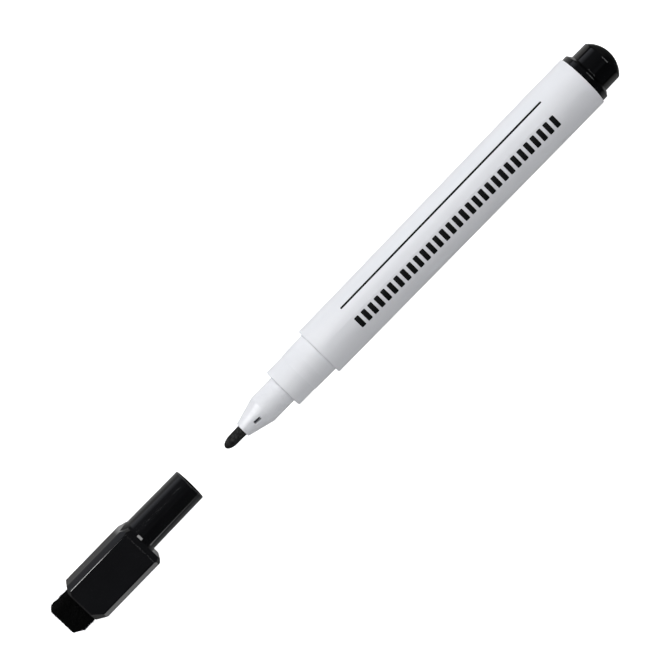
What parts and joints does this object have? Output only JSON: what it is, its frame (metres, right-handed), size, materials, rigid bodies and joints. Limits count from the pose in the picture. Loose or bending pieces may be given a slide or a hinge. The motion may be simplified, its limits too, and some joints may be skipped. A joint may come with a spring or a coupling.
{
  "type": "whiteboard marker",
  "caption": "Slim dry-wipe marker: white tapered barrel and stepped nose, black domed rear plug, and a black cap with a square eraser felt, pulled off in line.",
  "frame": {"origin": "centre of the barrel's rear rim, on the marker's axis", "axes": "+X along the marker's axis from the nib to the rear plug; +Z across it, towards the printed side; +Y completes a right-handed set"},
  "size_m": [0.1714, 0.0139, 0.0132],
  "materials": {
    "white_plastic": "satin, lightly glossy",
    "black_plastic": "glossy",
    "nib_fibre": "ink-soaked fibre, matte",
    "reservoir_fibre": "ink-soaked fibre, matte",
    "clear_film": "thin film",
    "seal_plastic": "soft, matte",
    "magnet_ferrite": "sintered, dark grey",
    "adhesive": "dull",
    "black_felt": "fuzzy pressed felt"
  },
  "bodies": {
    "marker": {"barrel": "white_plastic", "front_section": "white_plastic", "nib": "nib_fibre", "ink_reservoir": "reservoir_fibre", "reservoir_film": "clear_film", "rear_plug": "black_plastic"},
    "seal": {"inner_seal": "seal_plastic"},
    "cap": {"cap_shell": "black_plastic", "magnet": "magnet_ferrite", "felt_adhesive": "adhesive", "eraser_felt": "black_felt"}
  },
  "joints": [
    {"name": "cap_pull", "type": "slide", "parent": "marker", "child": "seal", "axis": [1, 0, 0], "range_m": [0, 0.02885]},
    {"name": "cap_twist", "type": "hinge", "parent": "seal", "child": "cap", "pos_m": [-0.1363, 0, 0], "axis": [1, 0, 0], "continuous": true}
  ]
}
